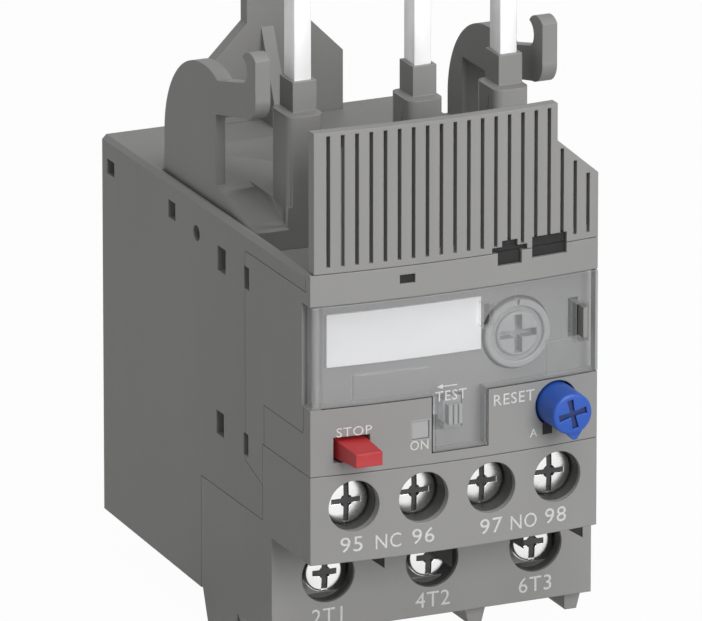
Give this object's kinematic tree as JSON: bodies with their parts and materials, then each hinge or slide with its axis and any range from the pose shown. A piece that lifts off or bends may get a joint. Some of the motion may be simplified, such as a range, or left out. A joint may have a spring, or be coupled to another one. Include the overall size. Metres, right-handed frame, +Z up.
{
  "type": "thermal overload relay",
  "caption": "Three-pole bimetal overload relay that plugs under a contactor, with swing cover, dial, buttons and screw terminals.",
  "frame": {"origin": "middle of the rear wall's foot line, on the surface the relay stands on", "axes": "+X to the right seen from the front, +Y to the rear, +Z up"},
  "size_m": [0.045, 0.0719, 0.0906],
  "materials": {
    "dark_moulding": "fine spark-eroded grey moulding",
    "moulding": "fine spark-eroded grey moulding",
    "clear_cover": "clear polycarbonate",
    "label_white": "printed label stock",
    "dial_grey": "light grey moulding",
    "stop_red": "satin red",
    "reset_blue": "satin blue",
    "inner_black": "black moulding",
    "inner_white": "natural moulding",
    "steel": "zinc plated",
    "screw_chrome": "bright nickel plate",
    "silver_bar": "tin-plated copper",
    "heater_alloy": "resistance ribbon",
    "contact_brass": "brass strip"
  },
  "bodies": {
    "relay": {"base_housing": "dark_moulding", "control_housing": "moulding", "terminal_housing": "moulding", "hook_carrier": "dark_moulding", "rear_bracket": "dark_moulding", "grille_cover": "moulding", "cover_pin": "steel", "label_plate": "label_white", "test_marker": "label_white", "inner_partition": "inner_black", "stop_spring": "steel", "reset_spring": "steel", "flag_window": "dial_grey", "conductor_bar_1": "silver_bar", "conductor_bar_2": "silver_bar", "conductor_bar_3": "silver_bar", "bimetal_strip_1": "steel", "bimetal_strip_2": "steel", "bimetal_strip_3": "steel", "heater_winding_1": "heater_alloy", "heater_winding_2": "heater_alloy", "heater_winding_3": "heater_alloy", "terminal_bar_1": "silver_bar", "terminal_bar_2": "silver_bar", "terminal_bar_3": "silver_bar", "aux_terminal_1": "contact_brass", "aux_terminal_2": "contact_brass", "aux_terminal_3": "contact_brass", "aux_terminal_4": "contact_brass"},
    "cover": {"window_cover": "clear_cover"},
    "dial": {"setting_dial": "dial_grey", "setting_cam": "dial_grey"},
    "stop": {"stop_button": "stop_red"},
    "reset_push": {"reset_plunger": "reset_blue"},
    "reset_turn": {"reset_knob": "reset_blue"},
    "test": {"test_slider": "dial_grey"},
    "trip_bar": {"trip_slider": "inner_white"},
    "lever": {"trip_lever": "inner_white"},
    "carrier": {"contact_carrier": "inner_white", "trip_flag": "dial_grey"},
    "break_leaf": {"break_contact_leaf": "contact_brass"},
    "make_leaf": {"make_contact_leaf": "contact_brass"},
    "main_screw_1": {"main_screw_1": "screw_chrome"},
    "box_clamp_1": {"box_clamp_1": "steel"},
    "main_screw_2": {"main_screw_2": "screw_chrome"},
    "box_clamp_2": {"box_clamp_2": "steel"},
    "main_screw_3": {"main_screw_3": "screw_chrome"},
    "box_clamp_3": {"box_clamp_3": "steel"},
    "aux_clamp_1": {"aux_clamp_1": "steel"},
    "aux_screw_1": {"aux_screw_1": "screw_chrome"},
    "aux_clamp_2": {"aux_clamp_2": "steel"},
    "aux_screw_2": {"aux_screw_2": "screw_chrome"},
    "aux_clamp_3": {"aux_clamp_3": "steel"},
    "aux_screw_3": {"aux_screw_3": "screw_chrome"},
    "aux_clamp_4": {"aux_clamp_4": "steel"},
    "aux_screw_4": {"aux_screw_4": "screw_chrome"}
  },
  "joints": [
    {"name": "cover_swing", "type": "hinge", "parent": "relay", "child": "cover", "pos_m": [-0.0213, -0.0653, 0.045], "axis": [0, 0, -1], "range_deg": [0, 100]},
    {"name": "dial_turn", "type": "hinge", "parent": "relay", "child": "dial", "pos_m": [0.0068, -0.0633, 0.0449], "axis": [0, 1, 0], "range_deg": [-110, 110]},
    {"name": "stop_press", "type": "slide", "parent": "relay", "child": "stop", "axis": [0, 1, 0], "range_m": [0, 0.0025], "stiffness_N_per_m": 400, "springref_m": -0.0015, "deforming": ["stop_spring"]},
    {"name": "reset_press", "type": "slide", "parent": "relay", "child": "reset_push", "axis": [0, 1, 0], "range_m": [0, 0.002], "stiffness_N_per_m": 400, "springref_m": -0.0015, "deforming": ["reset_spring"]},
    {"name": "reset_turn", "type": "hinge", "parent": "reset_push", "child": "reset_turn", "pos_m": [0.0115, -0.0642, 0.0354], "axis": [0, 1, 0], "range_deg": [0, 90]},
    {"name": "test_slide", "type": "slide", "parent": "relay", "child": "test", "axis": [-1, 0, 0], "range_m": [0, 0.0019], "stiffness_N_per_m": 150, "springref_m": -0.0005},
    {"name": "trip_slide", "type": "slide", "parent": "relay", "child": "trip_bar", "axis": [1, 0, 0], "range_m": [0, 0.002], "stiffness_N_per_m": 100, "springref_m": -0.0005},
    {"name": "lever_turn", "type": "hinge", "parent": "relay", "child": "lever", "pos_m": [0.0189, -0.0319, 0.033], "axis": [0, -1, 0], "range_deg": [0, 14.19]},
    {"name": "carrier_slide", "type": "slide", "parent": "relay", "child": "carrier", "axis": [-1, 0, 0], "range_m": [0, 0.00233]},
    {"name": "break_contact", "type": "hinge", "parent": "relay", "child": "break_leaf", "pos_m": [-0.0134, -0.0564, 0.03465], "axis": [0, -1, 0], "range_deg": [0, 19.21]},
    {"name": "make_contact", "type": "hinge", "parent": "relay", "child": "make_leaf", "pos_m": [0.0083, -0.0564, 0.03465], "axis": [0, -1, 0], "range_deg": [0, 19.21]},
    {"name": "box_clamp_1_close", "type": "slide", "parent": "relay", "child": "box_clamp_1", "axis": [0, -1, 0], "range_m": [0, 0.0021]},
    {"name": "main_screw_1_turn", "type": "hinge", "parent": "relay", "child": "main_screw_1", "pos_m": [-0.0146, -0.0536, 0.012], "axis": [0, 1, 0], "range_deg": [0, 1095]},
    {"name": "box_clamp_2_close", "type": "slide", "parent": "relay", "child": "box_clamp_2", "axis": [0, -1, 0], "range_m": [0, 0.0021]},
    {"name": "main_screw_2_turn", "type": "hinge", "parent": "relay", "child": "main_screw_2", "pos_m": [0, -0.0536, 0.012], "axis": [0, 1, 0], "range_deg": [0, 1095]},
    {"name": "box_clamp_3_close", "type": "slide", "parent": "relay", "child": "box_clamp_3", "axis": [0, -1, 0], "range_m": [0, 0.0021]},
    {"name": "main_screw_3_turn", "type": "hinge", "parent": "relay", "child": "main_screw_3", "pos_m": [0.0146, -0.0536, 0.012], "axis": [0, 1, 0], "range_deg": [0, 1095]},
    {"name": "aux_clamp_1_close", "type": "slide", "parent": "relay", "child": "aux_clamp_1", "axis": [0, 1, 0], "range_m": [0, 0.0018]},
    {"name": "aux_screw_1_turn", "type": "hinge", "parent": "aux_clamp_1", "child": "aux_screw_1", "pos_m": [-0.01667, -0.06445, 0.0255], "axis": [0, 1, 0], "range_deg": [0, 1095]},
    {"name": "aux_clamp_2_close", "type": "slide", "parent": "relay", "child": "aux_clamp_2", "axis": [0, 1, 0], "range_m": [0, 0.0018]},
    {"name": "aux_screw_2_turn", "type": "hinge", "parent": "aux_clamp_2", "child": "aux_screw_2", "pos_m": [-0.00722, -0.06445, 0.0255], "axis": [0, 1, 0], "range_deg": [0, 1095]},
    {"name": "aux_clamp_3_close", "type": "slide", "parent": "relay", "child": "aux_clamp_3", "axis": [0, 1, 0], "range_m": [0, 0.0018]},
    {"name": "aux_screw_3_turn", "type": "hinge", "parent": "aux_clamp_3", "child": "aux_screw_3", "pos_m": [0.00222, -0.06445, 0.0255], "axis": [0, 1, 0], "range_deg": [0, 1095]},
    {"name": "aux_clamp_4_close", "type": "slide", "parent": "relay", "child": "aux_clamp_4", "axis": [0, 1, 0], "range_m": [0, 0.0018]},
    {"name": "aux_screw_4_turn", "type": "hinge", "parent": "aux_clamp_4", "child": "aux_screw_4", "pos_m": [0.01167, -0.06445, 0.0255], "axis": [0, 1, 0], "range_deg": [0, 1095]}
  ],
  "couplings": [
    {"joint": "lever_turn", "follows": "trip_slide", "rad_per_m": 121.21},
    {"joint": "carrier_slide", "follows": "trip_slide", "ratio": 1.1394},
    {"joint": "break_contact", "follows": "trip_slide", "rad_per_m": 165},
    {"joint": "make_contact", "follows": "trip_slide", "rad_per_m": 165},
    {"joint": "main_screw_1_turn", "follows": "box_clamp_1_close", "rad_per_m": 8976},
    {"joint": "main_screw_2_turn", "follows": "box_clamp_2_close", "rad_per_m": 8976},
    {"joint": "main_screw_3_turn", "follows": "box_clamp_3_close", "rad_per_m": 8976},
    {"joint": "aux_screw_1_turn", "follows": "aux_clamp_1_close", "rad_per_m": 10472},
    {"joint": "aux_screw_2_turn", "follows": "aux_clamp_2_close", "rad_per_m": 10472},
    {"joint": "aux_screw_3_turn", "follows": "aux_clamp_3_close", "rad_per_m": 10472},
    {"joint": "aux_screw_4_turn", "follows": "aux_clamp_4_close", "rad_per_m": 10472}
  ]
}
